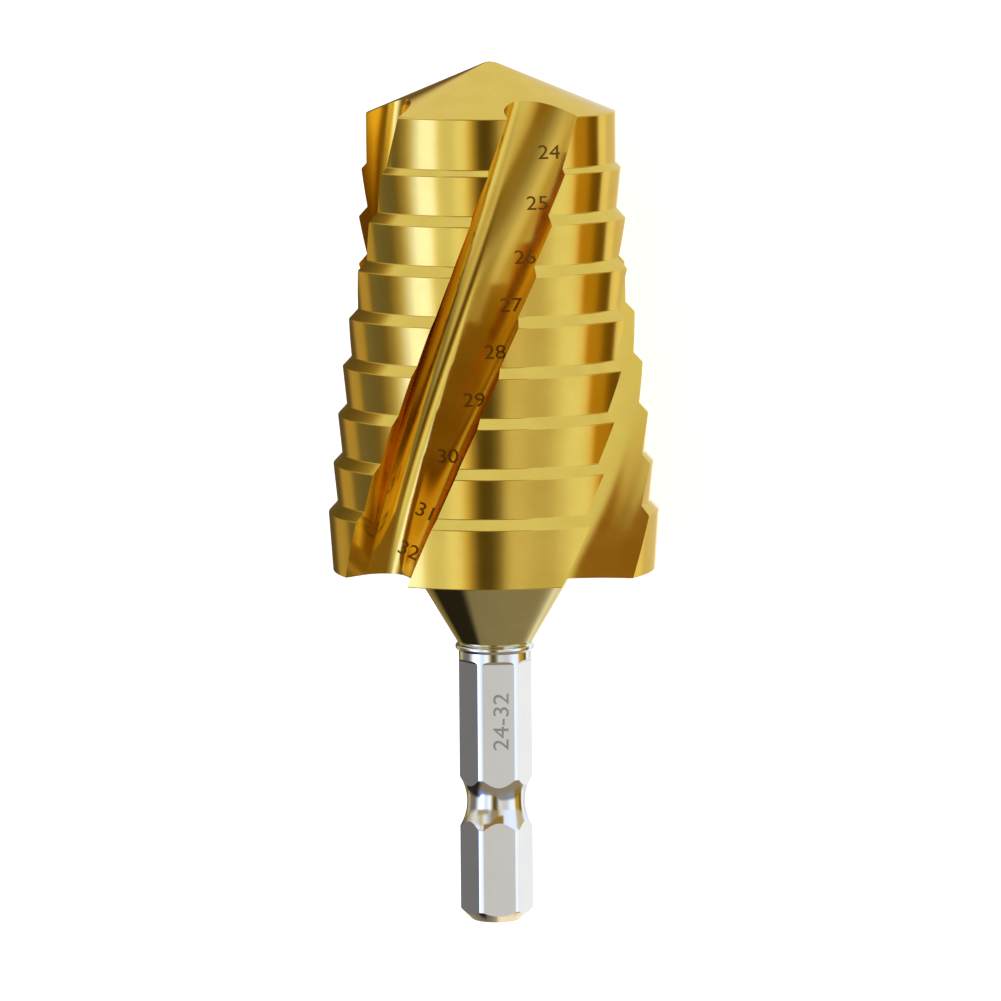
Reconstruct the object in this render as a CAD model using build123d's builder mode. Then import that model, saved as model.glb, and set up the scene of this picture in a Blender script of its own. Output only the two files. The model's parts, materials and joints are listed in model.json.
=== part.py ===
import os
from math import cos, radians, sin, sqrt, tan

from build123d import *

os.makedirs("parts", exist_ok=True)

# A step drill: a stepped, four-fluted cutting body on a short cone neck and a hexagonal
# quick-change shank, all one piece. It is drawn upright on its own axis, shank end at zero
# and point up, and then laid down as it comes to rest on a bench. Sizes are in millimetres
# and angles in degrees.

# Steps
smallest_diameter = 24.0
largest_diameter = 32.0
step_count = 9
first_step_height = 5.4
step_pitch = 4.73
last_step_height = 5.7
back_taper = 0.38
shoulder_half_angle = 43.0

# Point
point_angle = 135.0
point_nose_radius = 2.0

# Neck, with a small bead of a collar where it meets the shank
neck_length = 7.25
neck_top_radius = 7.9
neck_end_radius = 3.6
collar_radius = 3.85
collar_length = 0.75
collar_slope = 0.2

# Shank: a turned round with six milled flats and a groove for the chuck's locking ball
shank_diameter = 7.06
plain_length = 0.75
flat_length = 25.8
across_flats = 6.35
flat_count = 6
flat_turn = -2.5
flat_end_radius = 0.4
groove_centre = 11.65
groove_length = 4.9
groove_depth = 0.69
groove_strip_count = 4
end_chamfer = 1.08

# Flutes. Where a pair of values is given, the first holds at the point's corner and the
# second at the body's base, and the flute changes evenly from one to the other.
flute_count = 4
flute_lead = 221.0
flute_width_angle = (35.6, 33.3)
hook_angle = (15.0, 21.5)
heel_slope = (37.0, 48.0)
flute_floor_radius = (7.2, 11.6)
flute_root_radius = 2.2
flute_overrun = 3.0
flute_sections = 8
root_strip_count = 8
floor_strip_count = 6

# The drill rests with its centre of mass lowest, on the corners of three steps beside a
# flute: the axis then dips towards the point, and the first cutting corner is turned up.
rest_dip = 5.69
rest_turn = 36.06

# Heights above the shank end, and the radii that follow from the steps
shank_top = flat_length + plain_length
neck_base = shank_top + collar_length
body_base = neck_base + neck_length
stepped_height = first_step_height + (step_count - 2) * step_pitch
body_height = stepped_height + last_step_height
point_corner = body_base + body_height
smallest_radius = smallest_diameter / 2
largest_radius = largest_diameter / 2
radius_step = (largest_radius - smallest_radius) / (step_count - 1)
shank_radius = shank_diameter / 2


def step_corner(index):
    """Radius and height of a step's cutting corner, counted from the smallest step."""
    radius = smallest_radius + index * radius_step
    if index == 0:
        return radius, point_corner
    return radius, point_corner - first_step_height - (index - 1) * step_pitch


def along_flute(values, depth):
    """A flute's value at a depth below the point's corner."""
    at_point, at_base = values
    return at_point + (at_base - at_point) * depth / body_height


def flute_plane(depth):
    """A plane across the axis, whose X runs out through the cutting corner at that depth."""
    return Plane.XY.offset(point_corner - depth).rotated((0, 0, -360 * depth / flute_lead))


def strip_arc(centre, start, end, strips):
    """An arc about a centre, drawn as a row of short arcs that run on smoothly.

    Every other arc is flatter by a hair, so that each stays a strip of its own.
    """
    arm = start - centre
    strip_angle = arm.get_signed_angle(end - centre, Vector(0, 0, 1)) / strips
    for index in range(strips):
        first = arm.rotate(Axis.Z, index * strip_angle)
        middle = arm.rotate(Axis.Z, (index + 0.5) * strip_angle) * (1 - index % 2 * 0.00004)
        last = arm.rotate(Axis.Z, (index + 1) * strip_angle)
        ThreePointArc(centre + first, centre + middle, centre + last)


# A flute is lofted along its helix. Its section starts at the cutting corner: a hooked rake
# face, a rounded root, and a hollow floor that rises to the heel of the next land.
with BuildPart() as flute:
    flute_length = body_height + 2 * flute_overrun
    for index in range(flute_sections):
        depth = index * flute_length / (flute_sections - 1) - flute_overrun
        corner = Vector(smallest_radius + (largest_radius - smallest_radius) * depth / stepped_height, 0)
        heel = corner.rotate(Axis.Z, along_flute(flute_width_angle, depth))
        slope = radians(along_flute(heel_slope, depth))
        floor_radius = along_flute(flute_floor_radius, depth)
        floor_centre = heel + Vector(cos(slope), -sin(slope)) * floor_radius

        # the root's circle touches the rake line and, from inside, the floor's circle
        hook = radians(along_flute(hook_angle, depth))
        inward = Vector(-cos(hook), -sin(hook))
        across = Vector(-sin(hook), cos(hook))
        abreast = (floor_centre - corner).dot(inward)
        aside = (floor_centre - corner).dot(across) - flute_root_radius
        rake_end = corner + inward * (abreast + sqrt((floor_radius - flute_root_radius) ** 2 - aside**2))
        root_centre = rake_end + across * flute_root_radius
        floor_start = floor_centre + (root_centre - floor_centre).normalized() * floor_radius

        with BuildSketch(flute_plane(depth)) as section:
            with BuildLine():
                rake = Line(corner - inward * flute_overrun, rake_end)
                strip_arc(root_centre, rake_end, floor_start, root_strip_count)
                strip_arc(floor_centre, floor_start, heel, floor_strip_count)
                heel_side = Line(heel, heel + Vector(sin(slope), cos(slope)) * flute_overrun)
                Line(heel_side @ 1, rake @ 0)
            make_face()
    loft()

# One flat of the hexagon, with the small radius that the cutter leaves at its end
with BuildPart() as milled_flat:
    with BuildSketch(Plane.XZ) as flat_side:
        flat_distance = across_flats / 2
        with BuildLine():
            Polyline(
                (flat_distance, -end_chamfer),
                (flat_distance, flat_length),
                (shank_diameter, flat_length),
                (shank_diameter, -end_chamfer),
                close=True,
            )
        make_face()
        fillet(flat_side.vertices().sort_by_distance((flat_distance, flat_length))[0], flat_end_radius)
    extrude(amount=shank_diameter, both=True)

# One side's outline of the steps, from the point down to the base. Each step tapers back a
# little below its corner, and a cone leads out from there to the corner of the next.
steps_outline = []
for index in range(step_count):
    corner_radius, corner_height = step_corner(index)
    steps_outline.append((corner_radius, corner_height))
    foot_radius = corner_radius if index == 0 else corner_radius - back_taper
    if index < step_count - 1:
        next_radius, next_height = step_corner(index + 1)
        shoulder_height = (next_radius - foot_radius) / tan(radians(shoulder_half_angle))
        steps_outline.append((foot_radius, next_height + shoulder_height))
steps_outline.append((largest_radius - back_taper, body_base))

neck_outline = [
    (neck_top_radius, body_base),
    (neck_end_radius, neck_base),
    (collar_radius, neck_base - collar_slope),
    (collar_radius, shank_top + collar_slope),
    (shank_radius, shank_top),
]

# The turned blank, then its flutes and its flats
with BuildPart() as upright_drill:
    with BuildSketch(Plane.XZ) as turned_half:
        cone_angle = point_angle / 2
        apex_height = point_corner + smallest_radius / tan(radians(cone_angle))
        nose_centre = apex_height - point_nose_radius / sin(radians(cone_angle))
        groove_radius = (groove_length**2 / 4 + groove_depth**2) / (2 * groove_depth)
        groove_axis = Vector(shank_radius - groove_depth + groove_radius, groove_centre)
        groove_head = Vector(shank_radius, groove_centre + groove_length / 2)
        groove_foot = Vector(shank_radius, groove_centre - groove_length / 2)
        with BuildLine():
            nose = CenterArc((0, nose_centre), point_nose_radius, cone_angle, 90 - cone_angle)
            Polyline(nose @ 0, *steps_outline, *neck_outline, groove_head)
            strip_arc(groove_axis, groove_head, groove_foot, groove_strip_count)
            Polyline(
                groove_foot,
                (shank_radius, end_chamfer),
                (shank_radius - end_chamfer, 0),
                (0, 0),
                nose @ 1,
            )
        make_face()
    revolve(axis=Axis.Z)
    with PolarLocations(0, flute_count):
        add(flute.part, mode=Mode.SUBTRACT)
    with PolarLocations(0, flat_count, start_angle=flat_turn):
        add(milled_flat.part, mode=Mode.SUBTRACT)

# Laid down: the point towards +Y, on the bench, over the middle of its own footprint
dip = radians(rest_dip)
with BuildPart(Plane((0, 0, 0), x_dir=(0, sin(dip), cos(dip)), z_dir=(0, cos(dip), -sin(dip)))) as laid_drill:
    add(upright_drill.part, rotation=(0, 0, rest_turn))
footprint = laid_drill.part.bounding_box()
bench_plane = Plane((-footprint.center().X, -footprint.center().Y, -footprint.min.Z))
with BuildPart(bench_plane) as step_drill:
    add(laid_drill.part)

step_drill.part.label = "step_drill"
export_step(step_drill.part, "parts/step_drill.step")
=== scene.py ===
# %% [markdown]
# # A step drill, lying on a white bench
#
# The drill is one piece of tool steel: a stepped body with four helical flutes, a short cone
# neck and a hexagonal shank. Body and neck have a polished gold coating, and the shank is bare
# and bright. The solid is already the real drill's shape, so this lesson is about its looks:
# the camera, the studio that a mirror-like metal needs, the finishes and the marks.

# %% Load the frame
import json
import math

import bpy
from mathutils import Matrix, Vector

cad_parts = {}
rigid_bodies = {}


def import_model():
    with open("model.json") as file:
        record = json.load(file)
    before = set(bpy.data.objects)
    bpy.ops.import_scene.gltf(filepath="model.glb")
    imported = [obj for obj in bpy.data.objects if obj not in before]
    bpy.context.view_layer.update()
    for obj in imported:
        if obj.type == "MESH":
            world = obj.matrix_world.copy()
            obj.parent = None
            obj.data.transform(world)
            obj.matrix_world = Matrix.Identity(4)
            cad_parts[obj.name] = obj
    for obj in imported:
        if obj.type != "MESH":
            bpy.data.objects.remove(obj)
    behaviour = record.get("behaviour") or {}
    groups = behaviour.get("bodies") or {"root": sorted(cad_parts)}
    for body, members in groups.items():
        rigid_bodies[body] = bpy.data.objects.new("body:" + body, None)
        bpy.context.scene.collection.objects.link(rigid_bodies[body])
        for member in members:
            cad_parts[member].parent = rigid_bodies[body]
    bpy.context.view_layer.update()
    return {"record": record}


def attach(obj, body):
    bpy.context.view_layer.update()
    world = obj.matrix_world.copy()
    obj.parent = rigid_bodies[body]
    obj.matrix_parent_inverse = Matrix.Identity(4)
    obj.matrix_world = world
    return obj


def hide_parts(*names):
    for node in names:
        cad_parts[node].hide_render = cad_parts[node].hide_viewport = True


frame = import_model()

# %% [markdown]
# ## The drill's own axis
#
# The drill rests on the corners of three steps, so its axis dips a little towards the point.
# Everything that follows is easier to say along that axis and around it. The frame below has
# its Z along the axis, its zero at the shank's end, and its X towards the side that faces the
# camera. A point is then given as an angle, a radius and a height, as a turner would give it.

# %% The axis frame
MM = 0.001
DIP = math.radians(5.69)
FRONT_TURN = math.radians(28.56)
mounts = {mount["name"]: mount for mount in frame["record"]["mounts"]}
shank_end = Vector(mounts["shank_end"]["pos_m"])

along = Vector((0, math.cos(DIP), -math.sin(DIP)))
above = Vector((0, math.sin(DIP), math.cos(DIP)))
aside = Vector((1, 0, 0))
front = math.cos(FRONT_TURN) * above + math.sin(FRONT_TURN) * aside
right = along.cross(front)
axis_frame = Matrix((front, right, along)).transposed().to_4x4()
axis_frame.translation = shank_end


def on_drill(angle, radius, height):
    """The place at an angle from the front, and at a radius and a height in millimetres."""
    turned = math.radians(angle)
    return axis_frame @ (MM * Vector((radius * math.cos(turned), radius * math.sin(turned), height)))


print("shank end, m:", [round(v, 4) for v in shank_end])

# %% [markdown]
# ## The camera
#
# The photograph was taken from 560 mm with a long lens, a little above the middle of a drill
# that stands upright. This drill lies down, so the camera is placed by the drill's axis: it
# looks down on the bench, and the point is still at the top of the picture.

# %% The camera
CAMERA_DISTANCE = 560.0
CAMERA_LIFT = math.radians(7.3)
CAMERA_ROLL = math.radians(-0.45)
FOCAL_PIXELS = 5783.0
PICTURE_PIXELS = 1001
AIM_HEIGHT = 41.1
AIM_ASIDE = 0.64
FARTHEST_SEEN = 10.0

camera_data = bpy.data.cameras.new("camera")
camera_data.lens = camera_data.sensor_width * FOCAL_PIXELS / PICTURE_PIXELS
camera = bpy.data.objects.new("camera", camera_data)
bpy.context.scene.collection.objects.link(camera)

to_camera = math.cos(CAMERA_LIFT) * front + math.sin(CAMERA_LIFT) * along
aim = on_drill(0, 0, AIM_HEIGHT) + AIM_ASIDE * MM * right
up_in_picture = right.cross(to_camera) * -1
looking = Matrix((right, up_in_picture, to_camera)).transposed()
roll = Matrix.Rotation(CAMERA_ROLL, 3, to_camera)
camera_place = Matrix.Translation(aim + CAMERA_DISTANCE * MM * to_camera)
camera.matrix_world = camera_place @ (roll @ looking).to_4x4()
camera_data.clip_end = FARTHEST_SEEN
bpy.context.scene.camera = camera
bpy.context.scene.view_settings.view_transform = "Standard"
print("lens, mm:", round(camera_data.lens, 1), "camera at", [round(v, 3) for v in camera.location])

# %% [markdown]
# ## The studio
#
# A polished metal shows little of its own: it shows the room. So the room is built as a
# photographer would build it, with long softboxes and dark gaps side by side, all running
# along the drill. In the world's nodes that is a curve of brightness around the drill's axis.
# Past the point there is a pale ceiling, and past the shank a dim floor. The camera itself
# sees plain white.

# %% The studio's directions
world = bpy.data.worlds.new("studio")
bpy.context.scene.world = world
world.use_nodes = True
nodes, links = world.node_tree.nodes, world.node_tree.links
nodes.clear()


def math_node(operation, *values):
    """A Math node on numbers or on other nodes' outputs."""
    node = nodes.new("ShaderNodeMath")
    node.operation = operation
    for socket, value in zip(node.inputs, values):
        if isinstance(value, (int, float)):
            socket.default_value = value
        else:
            links.new(value, socket)
    return node.outputs["Value"]


direction = nodes.new("ShaderNodeTexCoord")
turn = nodes.new("ShaderNodeVectorRotate")
turn.rotation_type = "EULER_XYZ"
turn.inputs["Rotation"].default_value = axis_frame.to_3x3().transposed().to_euler("XYZ")
split = nodes.new("ShaderNodeSeparateXYZ")
links.new(direction.outputs["Generated"], turn.inputs["Vector"])
links.new(turn.outputs["Vector"], split.inputs["Vector"])
angle_round = math_node("DEGREES", math_node("ARCTAN2", split.outputs["Y"], split.outputs["X"]))
share_round = math_node("DIVIDE", math_node("ADD", angle_round, 180), 360)
elevation = math_node("DEGREES", math_node("ARCSINE", split.outputs["Z"]))


# %% A curve of values, and a ramp of colours, round the drill's axis
def round_the_axis(values, low, high):
    """A value between low and high for each direction round the axis, from (angle, value) pairs."""
    curve_node = nodes.new("ShaderNodeFloatCurve")
    curve = curve_node.mapping.curves[0]
    curve.points[0].location = (0, (values[0][1] - low) / (high - low))
    curve.points[1].location = (1, (values[-1][1] - low) / (high - low))
    for angle, value in values[1:-1]:
        curve.points.new((angle + 180) / 360, (value - low) / (high - low))
    for point in curve.points:
        point.handle_type = "AUTO_CLAMPED"
    curve_node.mapping.update()
    links.new(share_round, curve_node.inputs["Value"])
    return math_node("ADD", math_node("MULTIPLY", curve_node.outputs["Value"], high - low), low)


def tints_round_the_axis(tints):
    """A colour for each direction round the axis, from (angle, colour) pairs."""
    ramp = nodes.new("ShaderNodeValToRGB")
    ramp.color_ramp.elements[0].color = (*tints[0][1], 1)
    ramp.color_ramp.elements[1].color = (*tints[-1][1], 1)
    for angle, tint in tints[1:-1]:
        ramp.color_ramp.elements.new((angle + 180) / 360).color = (*tint, 1)
    links.new(share_round, ramp.inputs["Fac"])
    return ramp.outputs["Color"]


# %% The softboxes and the gaps between them
BRIGHTEST = 1.5
# angle from the front, and how bright the studio is there
SOFTBOXES = (
    (-180, 0.30),
    (-170, 0.14),
    (-160, 0.12),
    (-150, 0.22),
    (-137, 0.50),
    (-129, 0.46),
    (-120, 0.21),
    (-104, 0.17),
    (-92, 0.30),
    (-82, 0.60),
    (-72, 1.05),
    (-61, 1.36),
    (-52, 1.14),
    (-40, 0.80),
    (-28, 0.98),
    (-21, 0.82),
    (-13, 0.28),
    (-6, 0.10),
    (1, 0.18),
    (10, 0.60),
    (17, 0.73),
    (34, 0.64),
    (50, 0.78),
    (68, 0.94),
    (78, 0.90),
    (86, 0.54),
    (95, 0.50),
    (111, 0.18),
    (117, 0.52),
    (125, 0.98),
    (138, 0.76),
    (160, 0.80),
    (168, 1.25),
    (180, 0.60),
)
# the same above the drill's waist, where the key softbox on the left ends
UPPER_SOFTBOXES = (
    (-180, 0.20),
    (-160, 0.13),
    (-142, 0.17),
    (-122, 0.45),
    (-105, 0.60),
    (-85, 0.74),
    (-60, 0.60),
    (-46, 0.80),
    (-36, 0.66),
    (-24, 0.44),
    (-12, 0.32),
    (0, 0.32),
    (12, 0.62),
    (30, 0.80),
    (70, 0.86),
    (88, 0.56),
    (108, 0.54),
    (126, 0.84),
    (180, 0.80),
)
softboxes = round_the_axis(SOFTBOXES, 0, BRIGHTEST)
upper_softboxes = round_the_axis(UPPER_SOFTBOXES, 0, BRIGHTEST)
print("brightnesses:", len(SOFTBOXES), "below the waist, and", len(UPPER_SOFTBOXES), "above it")

# %% [markdown]
# ## What the gaps look out on
#
# White paper is cool where it is brightest, and a dark gap between two softboxes looks out on
# the rest of the room, which is warm. The gap on the right looks out on plain wood. Gold turns
# deeper in colour there, and paler in the softboxes, as it does in the photograph.

# %% The studio's tints
COOL_WHITE = (1.0, 1.24, 2.80)
COOL = (1.0, 1.08, 1.18)
WHITE = (1.0, 1.0, 1.0)
PLAIN = (1.0, 0.96, 0.86)
GREY = (1.0, 0.95, 0.86)
SOFT_WHITE = (1.0, 0.985, 0.92)
DUSK = (1.0, 0.80, 0.40)
AMBER = (1.0, 0.74, 0.26)
WOOD = (1.0, 0.58, 0.06)
EARTH = (1.0, 0.80, 0.50)
tints = tints_round_the_axis(
    (
        (-180, DUSK),
        (-127, DUSK),
        (-116, GREY),
        (-104, GREY),
        (-94, DUSK),
        (-82, PLAIN),
        (-72, COOL_WHITE),
        (-56, COOL_WHITE),
        (-48, COOL),
        (-26, COOL),
        (-18, DUSK),
        (-8, AMBER),
        (0, DUSK),
        (10, PLAIN),
        (42, PLAIN),
        (58, COOL),
        (70, COOL),
        (77, PLAIN),
        (84, WOOD),
        (113, WOOD),
        (118, SOFT_WHITE),
        (180, SOFT_WHITE),
    )
)
upper_tints = tints_round_the_axis(
    (
        (-180, DUSK),
        (-122, DUSK),
        (-98, PLAIN),
        (-80, PLAIN),
        (-62, DUSK),
        (-44, WHITE),
        (-26, GREY),
        (-12, DUSK),
        (2, AMBER),
        (20, PLAIN),
        (34, COOL),
        (76, COOL),
        (90, DUSK),
        (110, DUSK),
        (124, COOL),
        (180, COOL),
    )
)


# %% Mixing levels and colours by direction
def by_identifier(sockets):
    """A node's sockets by identifier, as a Mix node has several of the same name."""
    return {socket.identifier: socket for socket in sockets}


def mix_levels(share, below, above):
    """A light level that goes from one to the other by a share."""
    mixed = nodes.new("ShaderNodeMix")
    links.new(share, mixed.inputs["Factor"])
    for socket, value in (("A", below), ("B", above)):
        if isinstance(value, float):
            mixed.inputs[socket].default_value = value
        else:
            links.new(value, mixed.inputs[socket])
    return mixed.outputs["Result"]


def mix_tints(share, below, above):
    """A colour that goes from one to the other by a share."""
    mixed = nodes.new("ShaderNodeMix")
    mixed.data_type = "RGBA"
    sockets = by_identifier(mixed.inputs)
    links.new(share, sockets["Factor_Float"])
    for socket, colour in (("A_Color", below), ("B_Color", above)):
        if isinstance(colour, tuple):
            sockets[socket].default_value = (*colour, 1)
        else:
            links.new(colour, sockets[socket])
    return by_identifier(mixed.outputs)["Result_Color"]


def rise(value, low, high):
    """A share that rises smoothly from 0 to 1 as a value goes from low to high."""
    share = nodes.new("ShaderNodeMapRange")
    share.interpolation_type = "SMOOTHSTEP"
    links.new(value, share.inputs["Value"])
    for socket, limit in (("From Min", low), ("From Max", high)):
        if isinstance(limit, (int, float)):
            share.inputs[socket].default_value = limit
        else:
            links.new(limit, share.inputs[socket])
    return share.outputs["Result"]


# %% The ceiling and the floor
# the elevations over which the studio changes at the drill's waist, in level and in tint
WAIST_LEVELS = (-4, 6)
WAIST_TINTS = (-3, 2)
# where the ceiling begins and the floor ends, by the angle round the axis, and their fades
CEILING_LEVEL = 0.83
CEILING_EDGE = (
    (-180, 15),
    (-168, 18),
    (-160, 36),
    (-128, 34),
    (-112, 28),
    (-75, 22),
    (-60, 30),
    (90, 34),
    (125, 32),
    (150, 24),
    (180, 15),
)
CEILING_FADE = 12
FLOOR_BANDS = (
    (-180, 0.45),
    (-160, 0.30),
    (-144, 0.16),
    (-132, 0.02),
    (-90, 0.02),
    (-77, 0.11),
    (-66, 0.24),
    (40, 0.27),
    (108, 0.29),
    (124, 0.40),
    (138, 0.80),
    (150, 1.00),
    (180, 0.70),
)
FLOOR_EDGE = (
    (-180, -11),
    (-150, -12),
    (-130, -18),
    (-75, -20),
    (-60, -28),
    (-20, -30),
    (4, -25),
    (18, -18),
    (80, -17),
    (110, -22),
    (140, -26),
    (180, -26),
)
FLOOR_FADE = 8
EARTH_EDGE = (-46, -30)
room = mix_levels(rise(elevation, *WAIST_LEVELS), softboxes, upper_softboxes)
room_tint = mix_tints(rise(elevation, *WAIST_TINTS), tints, upper_tints)

ceiling_edge = round_the_axis(CEILING_EDGE, 0, 90)
in_ceiling = rise(elevation, ceiling_edge, math_node("ADD", ceiling_edge, CEILING_FADE))
room = mix_levels(in_ceiling, room, CEILING_LEVEL)
room_tint = mix_tints(in_ceiling, room_tint, COOL)

floor_edge = round_the_axis(FLOOR_EDGE, -90, 0)
above_floor = rise(elevation, math_node("SUBTRACT", floor_edge, FLOOR_FADE), floor_edge)
room = mix_levels(above_floor, round_the_axis(FLOOR_BANDS, 0, BRIGHTEST), room)
room_tint = mix_tints(rise(elevation, *EARTH_EDGE), EARTH, room_tint)

# %% Two brown cards in front
# Only the flutes mirror them: a slanting one above the waist, and a short one just at it.
CARD_LEVEL = 0.30
CARD_TINT = (1.0, 0.56, 0.12)
# how far off its middle height the slanting card has ended, and how far it is still whole
CARD_HALF = (12, 6)
CARD_HEIGHT = ((-180, 40), (-45, 41), (-30, 41), (-15, 36), (0, 27), (25, 23), (180, 23))
CARD_SIDES = ((-180, 0), (-54, 0), (-46, 1), (22, 1), (32, 0), (180, 0))
card_height = round_the_axis(CARD_HEIGHT, 0, 90)
off_card = math_node("ABSOLUTE", math_node("SUBTRACT", elevation, card_height))
card = math_node("MULTIPLY", round_the_axis(CARD_SIDES, 0, 1), rise(off_card, *CARD_HALF))
room = mix_levels(card, room, CARD_LEVEL)
room_tint = mix_tints(card, room_tint, CARD_TINT)

WAIST_CARD_LEVEL = 0.42
WAIST_CARD_FOOT = (-3, 2)
WAIST_CARD_TOP = (14, 6)
WAIST_CARD_SIDES = ((-180, 0), (-84, 0), (-70, 1), (-36, 1), (-24, 0), (180, 0))
card_foot, card_top = rise(elevation, *WAIST_CARD_FOOT), rise(elevation, *WAIST_CARD_TOP)
at_waist = math_node("MULTIPLY", card_foot, card_top)
waist_card = math_node("MULTIPLY", round_the_axis(WAIST_CARD_SIDES, 0, 1), at_waist)
room = mix_levels(waist_card, room, WAIST_CARD_LEVEL)
room_tint = mix_tints(waist_card, room_tint, DUSK)

# %% The plain white background
ray = nodes.new("ShaderNodeLightPath")
background = nodes.new("ShaderNodeBackground")
output = nodes.new("ShaderNodeOutputWorld")
links.new(mix_tints(ray.outputs["Is Camera Ray"], room_tint, WHITE), background.inputs["Color"])
links.new(mix_levels(ray.outputs["Is Camera Ray"], room, 1.0), background.inputs["Strength"])
links.new(background.outputs["Background"], output.inputs["Surface"])
print("studio nodes:", len(nodes))

# %% [markdown]
# ## The bench
#
# The bench is a large white sheet. It takes the drill's soft shadow, and a little light of its
# own, seen by the camera alone, keeps the rest of it white.

# %% The bench
BENCH_SIZE = 3.0
PAPER_WHITE = (0.9, 0.9, 0.9, 1)
PAPER_GLOW = 0.82
bpy.ops.object.select_all(action="DESELECT")
bpy.ops.mesh.primitive_plane_add(size=BENCH_SIZE, location=(0, 0, 0))
bench = bpy.context.object
bench.name = "bench"
bench_paper = bpy.data.materials.new("bench_paper")
bench_paper.use_nodes = True
nodes, links = bench_paper.node_tree.nodes, bench_paper.node_tree.links
nodes.clear()
paper = nodes.new("ShaderNodeBsdfDiffuse")
paper.inputs["Color"].default_value = PAPER_WHITE
glow = nodes.new("ShaderNodeEmission")
ray = nodes.new("ShaderNodeLightPath")
glow_level = nodes.new("ShaderNodeMath")
glow_level.operation = "MULTIPLY"
glow_level.inputs[1].default_value = PAPER_GLOW
both = nodes.new("ShaderNodeAddShader")
output = nodes.new("ShaderNodeOutputMaterial")
links.new(ray.outputs["Is Camera Ray"], glow_level.inputs[0])
links.new(glow_level.outputs["Value"], glow.inputs["Strength"])
links.new(paper.outputs["BSDF"], both.inputs[0])
links.new(glow.outputs["Emission"], both.inputs[1])
links.new(both.outputs["Shader"], output.inputs["Surface"])
bench.data.materials.append(bench_paper)
bench.visible_glossy = False

# %% [markdown]
# ## Finishes
#
# The body has a hard gold coating, polished on the lands and a little softer in the flutes,
# where a grinding wheel has run along the helix. The rake faces and the root beside them get a
# darker, more orange gold: that is painted shade, for the dim hollow deep in the flutes. On the
# neck the coating is thin and pale, and the shank is bare steel. All of them need to know where
# a point lies on the drill, so the first node group turns object coordinates into places along
# the drill's own axis, in millimetres.

# %% A node group for the place on the drill
def new_group(name, inputs, outputs):
    """A node group with named sockets, and its input and output nodes."""
    group = bpy.data.node_groups.new(name, "ShaderNodeTree")
    for socket, kind in inputs:
        group.interface.new_socket(socket, in_out="INPUT", socket_type=kind)
    for socket, kind in outputs:
        group.interface.new_socket(socket, in_out="OUTPUT", socket_type=kind)
    return group, group.nodes.new("NodeGroupInput"), group.nodes.new("NodeGroupOutput")


drill_place, _, place_out = new_group(
    "drill_place", [], [("Place", "NodeSocketVector"), ("Height", "NodeSocketFloat")]
)
to_axis = axis_frame.to_3x3().transposed()
object_place = drill_place.nodes.new("ShaderNodeTexCoord")
mapping = drill_place.nodes.new("ShaderNodeMapping")
mapping.inputs["Scale"].default_value = (1 / MM, 1 / MM, 1 / MM)
mapping.inputs["Rotation"].default_value = to_axis.to_euler("XYZ")
mapping.inputs["Location"].default_value = -(to_axis @ shank_end) / MM
parts = drill_place.nodes.new("ShaderNodeSeparateXYZ")
drill_place.links.new(object_place.outputs["Object"], mapping.inputs["Vector"])
drill_place.links.new(mapping.outputs["Vector"], parts.inputs["Vector"])
drill_place.links.new(mapping.outputs["Vector"], place_out.inputs["Place"])
drill_place.links.new(parts.outputs["Z"], place_out.inputs["Height"])
print("group:", drill_place.name)

# %% [markdown]
# ## Grinding marks and handling
#
# A grinding wheel leaves fine lines in the direction it ran: round the lands, along the helix
# in the flutes, along the shank's flats. One group serves all. It turns each place back by the
# helix, stretches it, and takes a noise there. A second group gives soft smudges, where hands
# and oil have dulled the polish.

# %% Node groups for grinding marks and for smudges
MARKS_DETAIL = 4.0
SMUDGES_DETAIL = 3.0
SMUDGES_RANGE = (0.35, 0.65)
grinding_marks, marks_in, marks_out = new_group(
    "grinding_marks",
    [
        ("Place", "NodeSocketVector"),
        ("Height", "NodeSocketFloat"),
        ("Twist", "NodeSocketFloat"),
        ("Fineness", "NodeSocketVector"),
    ],
    [("Marks", "NodeSocketFloat")],
)
twist = grinding_marks.nodes.new("ShaderNodeMath")
twist.operation = "MULTIPLY"
untwist = grinding_marks.nodes.new("ShaderNodeVectorRotate")
untwist.rotation_type = "Z_AXIS"
stretch = grinding_marks.nodes.new("ShaderNodeVectorMath")
stretch.operation = "MULTIPLY"
lines = grinding_marks.nodes.new("ShaderNodeTexNoise")
lines.inputs["Scale"].default_value = 1.0
lines.inputs["Detail"].default_value = MARKS_DETAIL
for start, end in (
    (marks_in.outputs["Height"], twist.inputs[0]),
    (marks_in.outputs["Twist"], twist.inputs[1]),
    (marks_in.outputs["Place"], untwist.inputs["Vector"]),
    (twist.outputs["Value"], untwist.inputs["Angle"]),
    (untwist.outputs["Vector"], stretch.inputs[0]),
    (marks_in.outputs["Fineness"], stretch.inputs[1]),
    (stretch.outputs["Vector"], lines.inputs["Vector"]),
    (lines.outputs["Fac"], marks_out.inputs["Marks"]),
):
    grinding_marks.links.new(start, end)

smudges, smudges_in, smudges_out = new_group(
    "smudges",
    [("Place", "NodeSocketVector"), ("Scale", "NodeSocketFloat")],
    [("Smudges", "NodeSocketFloat")],
)
clouds = smudges.nodes.new("ShaderNodeTexNoise")
clouds.inputs["Detail"].default_value = SMUDGES_DETAIL
contrast = smudges.nodes.new("ShaderNodeMapRange")
contrast.inputs["From Min"].default_value = SMUDGES_RANGE[0]
contrast.inputs["From Max"].default_value = SMUDGES_RANGE[1]
smudges.links.new(smudges_in.outputs["Place"], clouds.inputs["Vector"])
smudges.links.new(smudges_in.outputs["Scale"], clouds.inputs["Scale"])
smudges.links.new(clouds.outputs["Fac"], contrast.inputs["Value"])
smudges.links.new(contrast.outputs["Result"], smudges_out.inputs["Smudges"])
print("groups:", grinding_marks.name, "and", smudges.name)


# %% One metal finish, from its two tones, its polish and its grinding
SMUDGES_SCALE = 0.35
GOLD_EDGE = (1.0, 0.88, 0.66, 1)
STEEL_EDGE = (1.0, 1.0, 1.0, 1)


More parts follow.
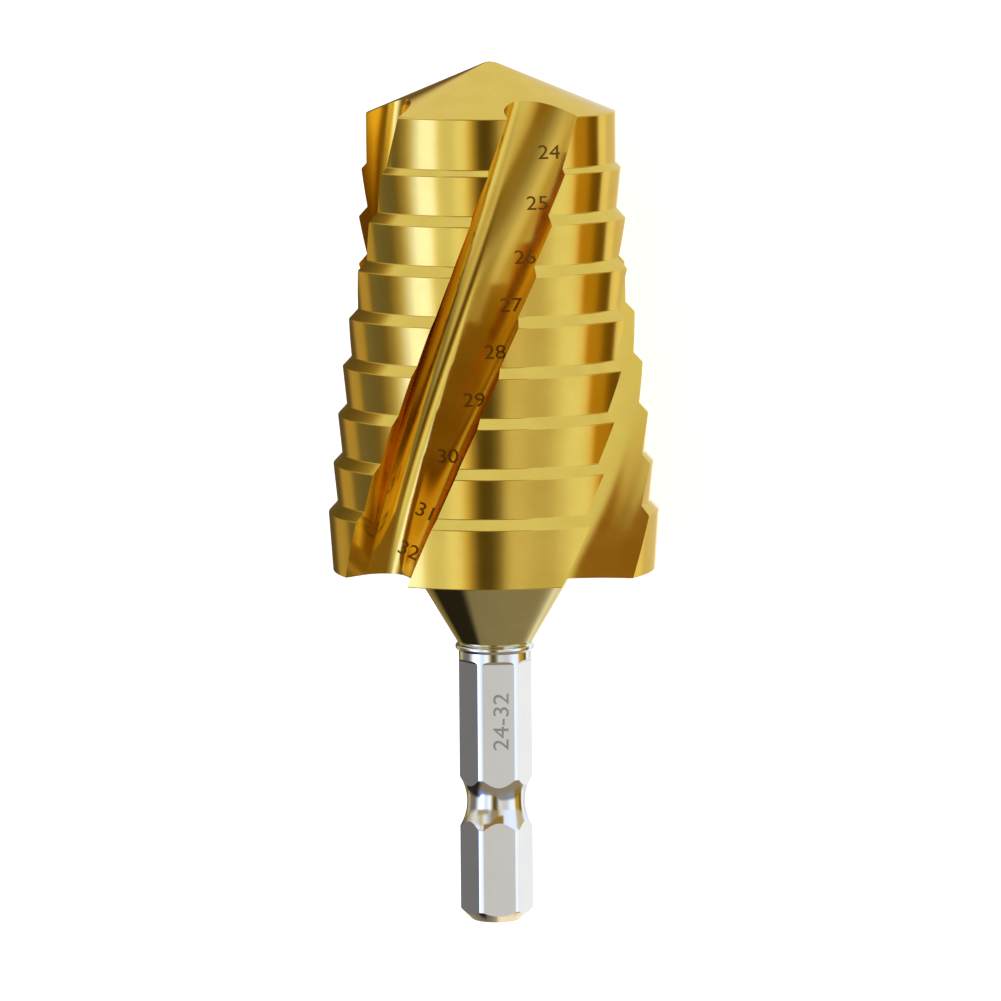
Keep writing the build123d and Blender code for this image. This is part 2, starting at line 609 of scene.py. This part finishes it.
def metal_finish(name, deep, pale, polish, fineness, twist=0.0, relief=0.0006, edge_tint=GOLD_EDGE):
    """A metal whose tone and polish vary with smudges and grinding marks."""
    material = bpy.data.materials.new(name)
    material.use_nodes = True
    nodes, links = material.node_tree.nodes, material.node_tree.links
    shader = nodes["Principled BSDF"]
    shader.inputs["Metallic"].default_value = 1.0
    shader.inputs["Specular Tint"].default_value = edge_tint

    place, marks, dulled = (nodes.new("ShaderNodeGroup") for _ in range(3))
    place.node_tree, marks.node_tree, dulled.node_tree = drill_place, grinding_marks, smudges
    marks.inputs["Twist"].default_value = twist
    marks.inputs["Fineness"].default_value = fineness
    dulled.inputs["Scale"].default_value = SMUDGES_SCALE
    for socket in ("Place", "Height"):
        links.new(place.outputs[socket], marks.inputs[socket])
    links.new(place.outputs["Place"], dulled.inputs["Place"])

    tone = nodes.new("ShaderNodeMix")
    tone.data_type = "RGBA"
    sockets = by_identifier(tone.inputs)
    sockets["A_Color"].default_value = (*deep, 1)
    sockets["B_Color"].default_value = (*pale, 1)
    links.new(dulled.outputs["Smudges"], sockets["Factor_Float"])
    links.new(by_identifier(tone.outputs)["Result_Color"], shader.inputs["Base Color"])

    both = nodes.new("ShaderNodeMath")
    both.operation = "MULTIPLY"
    rough = nodes.new("ShaderNodeMapRange")
    rough.inputs["To Min"].default_value = polish[0]
    rough.inputs["To Max"].default_value = polish[1]
    links.new(marks.outputs["Marks"], both.inputs[0])
    links.new(dulled.outputs["Smudges"], both.inputs[1])
    links.new(both.outputs["Value"], rough.inputs["Value"])
    links.new(rough.outputs["Result"], shader.inputs["Roughness"])

    bump = nodes.new("ShaderNodeBump")
    bump.inputs["Strength"].default_value = 1.0
    bump.inputs["Distance"].default_value = relief * MM
    links.new(marks.outputs["Marks"], bump.inputs["Height"])
    links.new(bump.outputs["Normal"], shader.inputs["Normal"])
    return material


# %% The drill's five finishes and its two laser marks
FLUTE_LEAD = 221.0
HELIX = math.tau / FLUTE_LEAD
ROUND_THE_DRILL = (0.12, 0.12, 3.5)
ALONG_THE_DRILL = (3.5, 3.5, 0.06)
EVERY_WAY = (4.0, 4.0, 4.0)
gold_lands = metal_finish(
    "gold_lands",
    deep=(0.78, 0.54, 0.097),
    pale=(0.82, 0.58, 0.113),
    polish=(0.07, 0.12),
    fineness=ROUND_THE_DRILL,
)
gold_flutes = metal_finish(
    "gold_flutes",
    deep=(0.77, 0.53, 0.092),
    pale=(0.81, 0.57, 0.108),
    polish=(0.12, 0.18),
    fineness=ALONG_THE_DRILL,
    twist=HELIX,
)
# painted shade: darker and more orange than the lands, for the dim hollow deep in the flutes
gold_rake_painted_shade = metal_finish(
    "gold_rake_painted_shade",
    deep=(0.74, 0.39, 0.024),
    pale=(0.80, 0.44, 0.036),
    polish=(0.13, 0.20),
    fineness=ALONG_THE_DRILL,
    twist=HELIX,
)
pale_neck = metal_finish(
    "pale_neck",
    deep=(0.80, 0.75, 0.43),
    pale=(0.84, 0.80, 0.48),
    polish=(0.05, 0.10),
    fineness=ROUND_THE_DRILL,
)
bright_steel = metal_finish(
    "bright_steel",
    deep=(0.89, 0.915, 0.98),
    pale=(0.92, 0.945, 1.00),
    polish=(0.06, 0.11),
    fineness=ALONG_THE_DRILL,
    relief=0.0004,
    edge_tint=STEEL_EDGE,
)
laser_mark = metal_finish(
    "laser_mark",
    deep=(0.18, 0.105, 0.015),
    pale=(0.25, 0.148, 0.026),
    polish=(0.40, 0.52),
    fineness=EVERY_WAY,
    relief=0.001,
)
laser_mark_on_steel = metal_finish(
    "laser_mark_on_steel",
    deep=(0.50, 0.51, 0.54),
    pale=(0.60, 0.61, 0.64),
    polish=(0.34, 0.46),
    fineness=EVERY_WAY,
    relief=0.001,
)
finishes = (gold_lands, gold_flutes, gold_rake_painted_shade, pale_neck, bright_steel, laser_mark, laser_mark_on_steel)
print("finishes:", [finish.name for finish in finishes])

# %% [markdown]
# ## A finer skin for the drill
#
# The solid has the right shape, but a polished metal needs more: its reflections run smoothly
# only on a fine mesh, and every turned corner has a tiny round that catches the light. So the
# drill is made again at the solid's own sizes, the way a workshop makes one. A blank is turned,
# four flutes are milled out of it along a helix, and six flats are milled on its shank. All of
# this happens upright on the drill's axis, in millimetres, with the shank's end at zero.

# %% The turner's sizes, in millimetres
SMALLEST_RADIUS = 12.0
LARGEST_RADIUS = 16.0
STEP_COUNT = 9
FIRST_STEP = 5.4
STEP_PITCH = 4.73
LAST_STEP = 5.7
BACK_TAPER = 0.38
SHOULDER_ANGLE = math.radians(43)
POINT_ANGLE = math.radians(67.5)
NOSE_RADIUS = 2.0
FLAT_LENGTH = 25.8
SHANK_TOP = 26.55
NECK_BASE = 27.3
BODY_BASE = 34.55
NECK_RADII = (3.6, 7.9)
COLLAR_RADIUS = 3.85
COLLAR_SLOPE = 0.2
SHANK_RADIUS = 3.53
GROOVE = {"centre": 11.65, "length": 4.9, "depth": 0.69}
END_CHAMFER = 1.08

STEPPED_HEIGHT = FIRST_STEP + (STEP_COUNT - 2) * STEP_PITCH
BODY_HEIGHT = STEPPED_HEIGHT + LAST_STEP
POINT_CORNER = BODY_BASE + BODY_HEIGHT
print("body:", round(BODY_HEIGHT, 2), "mm tall, its point's corner at", round(POINT_CORNER, 2))


# %% [markdown]
# ## The turned outline
#
# Half the outline is a list of (radius, height) corners. It is worked out from the sizes, step
# by step. Each corner then gets its round, as an arc of a few points. A cutting corner keeps
# only a small round, and the neck's root a larger one.

# %% Arcs and rounded corners
ARC_STEP = 12
LONGEST_REACH = 0.45


def arc_points(centre, start, end, count):
    """Points along the arc from start to end around a centre."""
    arm = start - centre
    sweep = arm.angle_signed(end - centre)
    points = []
    for index in range(count + 1):
        spoke = arm.copy()
        spoke.rotate(Matrix.Rotation(-sweep * index / count, 2))
        points.append(centre + spoke)
    return points


def step_corner(index):
    """Radius and height of a step's cutting corner, counted from the smallest."""
    radius = SMALLEST_RADIUS + index * (LARGEST_RADIUS - SMALLEST_RADIUS) / (STEP_COUNT - 1)
    return radius, POINT_CORNER - (FIRST_STEP + (index - 1) * STEP_PITCH if index else 0)


def rounded(corners, radii):
    """An outline whose corners are replaced by arcs of the given radii."""
    outline = [corners[0]]
    for before, corner, after, radius in zip(corners, corners[1:], corners[2:], radii[1:]):
        if radius == 0:
            outline.append(corner)
            continue
        back, on = (before - corner).normalized(), (after - corner).normalized()
        half = back.angle(on) / 2
        shorter_side = min((before - corner).length, (after - corner).length)
        reach = min(radius / math.tan(half), LONGEST_REACH * shorter_side)
        centre = corner + (back + on).normalized() * reach / math.cos(half)
        count = max(2, round(math.degrees(math.pi - 2 * half) / ARC_STEP))
        outline += arc_points(centre, corner + back * reach, corner + on * reach, count)
    return outline + [corners[-1]]


# %% The outline's corners and their rounds
NOSE_PARTS = 6
GROOVE_PARTS = 14
CUTTING_ROUND = 0.22
FOOT_ROUND = 0.10
NECK_ROOT_ROUND = 0.3
COLLAR_ROUNDS = (0.12, 0.2, 0.2, 0.12)
SHANK_ROUND = 0.15
END_ROUND = 0.12

apex = POINT_CORNER + SMALLEST_RADIUS / math.tan(POINT_ANGLE)
nose_centre = Vector((0, apex - NOSE_RADIUS / math.sin(POINT_ANGLE)))
nose_end = nose_centre + NOSE_RADIUS * Vector((math.cos(POINT_ANGLE), math.sin(POINT_ANGLE)))
nose = arc_points(nose_centre, nose_centre + Vector((0, NOSE_RADIUS)), nose_end, NOSE_PARTS)
steps = []
for index in range(STEP_COUNT):
    radius, height = step_corner(index)
    foot_radius = radius - (BACK_TAPER if index else 0)
    steps.append(Vector((radius, height)))
    if index < STEP_COUNT - 1:
        next_radius, next_height = step_corner(index + 1)
        shoulder_height = (next_radius - foot_radius) / math.tan(SHOULDER_ANGLE)
        steps.append(Vector((foot_radius, next_height + shoulder_height)))
steps.append(Vector((LARGEST_RADIUS - BACK_TAPER, BODY_BASE)))
neck = [
    Vector((NECK_RADII[1], BODY_BASE)),
    Vector((NECK_RADII[0], NECK_BASE)),
    Vector((COLLAR_RADIUS, NECK_BASE - COLLAR_SLOPE)),
    Vector((COLLAR_RADIUS, SHANK_TOP + COLLAR_SLOPE)),
    Vector((SHANK_RADIUS, SHANK_TOP)),
]
groove_radius = (GROOVE["length"] ** 2 / 4 + GROOVE["depth"] ** 2) / (2 * GROOVE["depth"])
groove_axis = Vector((SHANK_RADIUS - GROOVE["depth"] + groove_radius, GROOVE["centre"]))
groove_head = Vector((SHANK_RADIUS, GROOVE["centre"] + GROOVE["length"] / 2))
groove_foot = Vector((SHANK_RADIUS, GROOVE["centre"] - GROOVE["length"] / 2))
groove = arc_points(groove_axis, groove_head, groove_foot, GROOVE_PARTS)
tail = [Vector((SHANK_RADIUS, END_CHAMFER)), Vector((SHANK_RADIUS - END_CHAMFER, 0)), Vector((0, 0))]

corners = nose + steps + neck + groove + tail
radii = [0] * len(nose) + [CUTTING_ROUND] * (len(steps) - 1) + [FOOT_ROUND]
radii += [NECK_ROOT_ROUND, *COLLAR_ROUNDS]
radii += [SHANK_ROUND] + [0] * (len(groove) - 2) + [SHANK_ROUND]
radii += [SHANK_ROUND, END_ROUND, 0]
outline = rounded(corners, radii)
print("the outline has", len(corners), "corners and", len(outline), "points once rounded")

# %% [markdown]
# ## Turning the blank
#
# A circle primitive gives a ring of points. They are laid out along the outline, the ring's one
# closing edge is taken away, and spin turns the line round the axis, as a lathe does.

# %% The turned blank
TURNING_STEPS = 288
MERGE_WITHIN = 0.001


def select_only(*pieces):
    """Select these pieces and no others, and make the first one active."""
    bpy.ops.object.select_all(action="DESELECT")
    for piece in pieces:
        piece.select_set(True)
    bpy.context.view_layer.objects.active = pieces[0]


def joined(pieces):
    """Pieces joined into one."""
    select_only(*pieces)
    bpy.ops.object.join()
    return bpy.context.object


bpy.ops.object.select_all(action="DESELECT")
bpy.ops.mesh.primitive_circle_add(vertices=len(outline), radius=MM)
skin = bpy.context.object
skin.name = "drill_skin"
for vertex, point in zip(skin.data.vertices, outline):
    vertex.co = (point.x * MM, 0, point.y * MM)
bpy.ops.object.mode_set(mode="EDIT")
bpy.ops.mesh.select_all(action="DESELECT")
bpy.ops.object.mode_set(mode="OBJECT")
for edge in skin.data.edges:
    edge.select = set(edge.vertices) == {0, len(outline) - 1}
bpy.ops.object.mode_set(mode="EDIT")
bpy.ops.mesh.select_mode(type="EDGE")
bpy.ops.mesh.delete(type="EDGE")
bpy.ops.mesh.select_mode(type="VERT")
bpy.ops.mesh.select_all(action="SELECT")
bpy.ops.mesh.spin(steps=TURNING_STEPS, angle=math.tau, center=(0, 0, 0), axis=(0, 0, 1))
bpy.ops.mesh.select_all(action="SELECT")
bpy.ops.mesh.remove_doubles(threshold=MERGE_WITHIN * MM)
bpy.ops.mesh.normals_make_consistent(inside=False)
bpy.ops.object.mode_set(mode="OBJECT")
for finish in (gold_lands, pale_neck, bright_steel):
    skin.data.materials.append(finish)
for face in skin.data.polygons:
    face.material_index = (face.center.z < BODY_BASE * MM) + (face.center.z < NECK_BASE * MM)
print("turned blank:", len(skin.data.polygons), "faces")


# %% [markdown]
# ## The flutes
#
# A milling cutter leaves the same hollow all along its helix: a hooked rake face, a rounded
# root, and a floor that rises to the next land's heel. The hollow is modelled as a solid worm
# and taken away from the blank. The worm is a fine grid whose rows are laid on the section at
# each depth. No edit-mode tool twists and widens a section along a tapering helix by itself.

# %% One section of a flute
FLUTE_COUNT = 4
CORNER_ANGLE = 7.5
FLUTE_WIDTH = (35.6, 33.3)
HOOK_ANGLE = (15.0, 21.5)
HEEL_SLOPE = (37.0, 48.0)
FLOOR_RADIUS = (7.2, 11.6)
ROOT_RADIUS = 2.2
OVERRUN = 3.0
RAKE_POINTS = 8
ROOT_POINTS = 18
FLOOR_POINTS = 20


def along_flute(values, depth):
    """A value that changes evenly from the point's corner to the body's base."""
    return values[0] + (values[1] - values[0]) * depth / BODY_HEIGHT


def turned(vector, degrees):
    """A flat vector turned by an angle."""
    result = vector.copy()
    result.rotate(Matrix.Rotation(math.radians(degrees), 2))
    return result


def flute_section(depth):
    """The closed section of a flute's hollow, with its cutting corner on X."""
    corner = Vector((SMALLEST_RADIUS + (LARGEST_RADIUS - SMALLEST_RADIUS) * depth / STEPPED_HEIGHT, 0))
    heel = turned(corner, along_flute(FLUTE_WIDTH, depth))
    slope = math.radians(along_flute(HEEL_SLOPE, depth))
    floor_radius = along_flute(FLOOR_RADIUS, depth)
    floor_centre = heel + Vector((math.cos(slope), -math.sin(slope))) * floor_radius
    hook = math.radians(along_flute(HOOK_ANGLE, depth))
    inward = Vector((-math.cos(hook), -math.sin(hook)))
    across = Vector((-math.sin(hook), math.cos(hook)))
    abreast = (floor_centre - corner).dot(inward)
    aside_by = (floor_centre - corner).dot(across) - ROOT_RADIUS
    rake_end = corner + inward * (abreast + math.sqrt((floor_radius - ROOT_RADIUS) ** 2 - aside_by**2))
    root_centre = rake_end + across * ROOT_RADIUS
    floor_start = floor_centre + (root_centre - floor_centre).normalized() * floor_radius
    outer = corner - inward * OVERRUN
    section = [outer.lerp(rake_end, share / RAKE_POINTS) for share in range(RAKE_POINTS)]
    section += arc_points(root_centre, rake_end, floor_start, ROOT_POINTS)
    section += arc_points(floor_centre, floor_start, heel, FLOOR_POINTS)[1:]
    section += [heel + Vector((math.sin(slope), math.cos(slope))) * OVERRUN, outer]
    return section


# %% The worm that one flute takes away
FLUTE_ROWS = 112
row_length = len(flute_section(0))
bpy.ops.object.select_all(action="DESELECT")
bpy.ops.mesh.primitive_grid_add(x_subdivisions=row_length - 1, y_subdivisions=FLUTE_ROWS - 1, size=MM)
worm = bpy.context.object
worm.name = "flute_worm"
for row in range(FLUTE_ROWS):
    depth = row * (BODY_HEIGHT + 2 * OVERRUN) / (FLUTE_ROWS - 1) - OVERRUN
    for column, point in enumerate(flute_section(depth)):
        place = turned(point, CORNER_ANGLE - 360 * depth / FLUTE_LEAD)
        vertex = worm.data.vertices[row * row_length + column]
        vertex.co = MM * Vector((place.x, place.y, POINT_CORNER - depth))
for finish in (gold_flutes, gold_rake_painted_shade):
    worm.data.materials.append(finish)
for face in worm.data.polygons:
    # the rake face and the first half of the root take the painted-shade gold
    face.material_index = min(i % row_length for i in face.vertices) < RAKE_POINTS + ROOT_POINTS // 2
bpy.ops.object.mode_set(mode="EDIT")
bpy.ops.mesh.select_all(action="SELECT")
bpy.ops.mesh.remove_doubles(threshold=MERGE_WITHIN * MM)
bpy.ops.mesh.fill_holes(sides=0)
bpy.ops.mesh.select_all(action="SELECT")
bpy.ops.mesh.normals_make_consistent(inside=False)
bpy.ops.object.mode_set(mode="OBJECT")
print("flute worm:", len(worm.data.polygons), "faces in", FLUTE_ROWS, "rows")

# %% [markdown]
# ## The flats
#
# Each flat of the shank is what a milling cutter leaves: a block is taken away down to the
# flat, and the block's inner upper edge is rounded, because the cutter's corner is round.

# %% The block that one flat takes away
ACROSS_FLATS = 6.35
FLAT_TURN = 5.0
FLAT_COUNT = 6
FLAT_END_RADIUS = 0.4
FLAT_END_PARTS = 5
BLOCK_DEPTH = 1.2
BLOCK_WIDTH = 3.4
HAIR = 0.01
bpy.ops.object.select_all(action="DESELECT")
bpy.ops.mesh.primitive_cube_add(
    size=1,
    location=(MM * (ACROSS_FLATS + BLOCK_DEPTH) / 2, 0, MM * (FLAT_LENGTH - END_CHAMFER) / 2),
    scale=(MM * BLOCK_DEPTH, MM * BLOCK_WIDTH, MM * (FLAT_LENGTH + END_CHAMFER)),
)
block = bpy.context.object
block.name = "flat_block"
bpy.ops.object.transform_apply()
for edge in block.data.edges:
    middle = sum((block.data.vertices[i].co for i in edge.vertices), Vector()) / 2
    on_flat = middle.x < MM * (ACROSS_FLATS / 2 + HAIR)
    at_top = middle.z > MM * (FLAT_LENGTH - HAIR)
    edge.select = on_flat and at_top
for vertex in block.data.vertices:
    vertex.select = False
for face in block.data.polygons:
    face.select = False
bpy.ops.object.mode_set(mode="EDIT")
bpy.ops.mesh.select_mode(type="EDGE")
bpy.ops.mesh.bevel(offset=FLAT_END_RADIUS * MM, segments=FLAT_END_PARTS)
bpy.ops.object.mode_set(mode="OBJECT")
block.data.materials.append(bright_steel)
print("flat block:", len(block.data.polygons), "faces, one edge rounded")


# %% [markdown]
# ## Milling
#
# The worm and the block are copied round the axis and joined into one set of cutters, and one
# exact Boolean takes them all away. Then the skin is laid down into the solid's own place.
# Smooth shading alone would bend the long lands' normals towards the tiny rounds beside them,
# and their reflections with them. Weighted Normal lets the large faces keep theirs.

# %% Cut, laid down and smoothed
SMOOTH_BELOW = math.radians(20)


def ring_of(piece, count, first_turn):
    """Copies of a piece all round the axis."""
    copies = []
    for index in range(count):
        copy = piece.copy()
        copy.data = piece.data.copy()
        bpy.context.scene.collection.objects.link(copy)
        copy.rotation_euler.z = math.radians(first_turn + index * 360 / count)
        copies.append(copy)
    bpy.data.objects.remove(piece)
    return copies


cutters = joined(ring_of(worm, FLUTE_COUNT, 0) + ring_of(block, FLAT_COUNT, FLAT_TURN))
select_only(skin)
milling = skin.modifiers.new("milling", "BOOLEAN")
milling.operation = "DIFFERENCE"
milling.solver = "EXACT"
milling.material_mode = "TRANSFER"
milling.object = cutters
bpy.ops.object.modifier_apply(modifier=milling.name)
bpy.data.objects.remove(cutters)
skin.matrix_world = axis_frame
bpy.ops.object.transform_apply()
bpy.ops.object.shade_smooth_by_angle(angle=SMOOTH_BELOW)
evening = skin.modifiers.new("even_lands", "WEIGHTED_NORMAL")
evening.keep_sharp = True
bpy.ops.object.modifier_apply(modifier=evening.name)
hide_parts("step_drill")
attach(skin, "root")
finish_names = [finish.name for finish in skin.data.materials]
print("milled skin:", len(skin.data.polygons), "faces, finishes:", finish_names)

# %% [markdown]
# ## The numbers
#
# Each step's diameter is marked in the flute beside it, and the whole range on the shank. A
# laser writes these, and leaves a thin dull film. So each number is made as text, turned into a
# mesh, cut finer, and laid on the metal with a Shrinkwrap that projects it from where the camera
# looks, a hair above the surface. Solidify then closes it, down into the metal.

# %% One number, laid on the metal
FILM = 0.02
START_ABOVE = 3.0
DIGIT_STRETCH = 1.14
DIGIT_CUTS = 4
DIGIT_SMOOTH_BELOW = math.radians(30)


def through_pixel(pixel):
    """The direction from the camera through a pixel of the photograph."""
    x = (pixel[0] - PICTURE_PIXELS / 2) / FOCAL_PIXELS
    y = (PICTURE_PIXELS / 2 - pixel[1]) / FOCAL_PIXELS
    return (camera.matrix_world.to_3x3() @ Vector((x, y, -1))).normalized()


def lay_number(words, pixel, digit_pixels, lean, finish):
    """A number whose middle is seen at a pixel, as tall as given and turned by the lean."""
    bpy.ops.object.select_all(action="DESELECT")
    bpy.ops.object.text_add()
    number = bpy.context.object
    number.data.body = words
    number.data.align_x = "CENTER"
    number.data.align_y = "CENTER"
    bpy.ops.object.convert(target="MESH")
    number = bpy.context.object
    bpy.ops.object.mode_set(mode="EDIT")
    bpy.ops.mesh.select_all(action="SELECT")
    bpy.ops.mesh.quads_convert_to_tris()
    bpy.ops.mesh.subdivide(number_cuts=DIGIT_CUTS)
    bpy.ops.object.mode_set(mode="OBJECT")

    ray = through_pixel(pixel)
    _, place, _, _ = skin.ray_cast(camera.location, ray)
    ray_length = (place - camera.location).length
    size = digit_pixels * ray_length / FOCAL_PIXELS / number.dimensions.y
    box_middle = sum((Vector(corner) for corner in number.bound_box), Vector()) / len(number.bound_box)
    turned_by = camera.matrix_world.to_3x3() @ Matrix.Rotation(math.radians(lean), 3, "Z")
    number.matrix_world = (
        Matrix.Translation(place + turned_by @ Vector((0, 0, START_ABOVE * MM)))
        @ turned_by.to_4x4()
        @ Matrix.Diagonal((size * DIGIT_STRETCH, size, size, 1))
        @ Matrix.Translation(-box_middle)
    )
    wrap = number.modifiers.new("onto_metal", "SHRINKWRAP")
    wrap.target = skin
    wrap.wrap_method = "PROJECT"
    wrap.use_project_z = True
    wrap.use_negative_direction = True
    wrap.use_positive_direction = False
    wrap.wrap_mode = "ABOVE_SURFACE"
    wrap.offset = FILM * MM / size
    select_only(number)
    bpy.ops.object.modifier_apply(modifier=wrap.name)
    bpy.ops.object.transform_apply()
    film = number.modifiers.new("film", "SOLIDIFY")
    film.thickness = 2 * FILM * MM
    bpy.ops.object.modifier_apply(modifier=film.name)
    bpy.ops.object.shade_smooth_by_angle(angle=DIGIT_SMOOTH_BELOW)
    number.data.materials.append(finish)
    return number


# %% The step numbers and the shank's range
DIGIT_PIXELS = 14.0
# where the photograph shows the middle of each number, and how it leans
STEP_NUMBERS = {
    "24": ((549, 152), 0),
    "25": ((537, 203), 0),
    "26": ((525, 257), 0),
    "27": ((511, 305), 0),
    "28": ((495, 352), 0),
    "29": ((474, 400), 0),
    "30": ((448, 456), 0),
    "31": ((425, 511), -24),
    "32": ((409, 550), -24),
}
RANGE = "24-32"
RANGE_PIXEL = (501, 722)
RANGE_DIGIT_PIXELS = 15.5
RANGE_LEAN = 90
step_numbers = joined(
    [
        lay_number(words, pixel, DIGIT_PIXELS, lean, laser_mark)
        for words, (pixel, lean) in STEP_NUMBERS.items()
    ]
)
step_numbers.name = "step_numbers"
range_number = lay_number(RANGE, RANGE_PIXEL, RANGE_DIGIT_PIXELS, RANGE_LEAN, laser_mark_on_steel)
range_number.name = "range_number"
for number in (step_numbers, range_number):
    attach(number, "root")
    print(number.name, len(number.data.polygons), "faces")
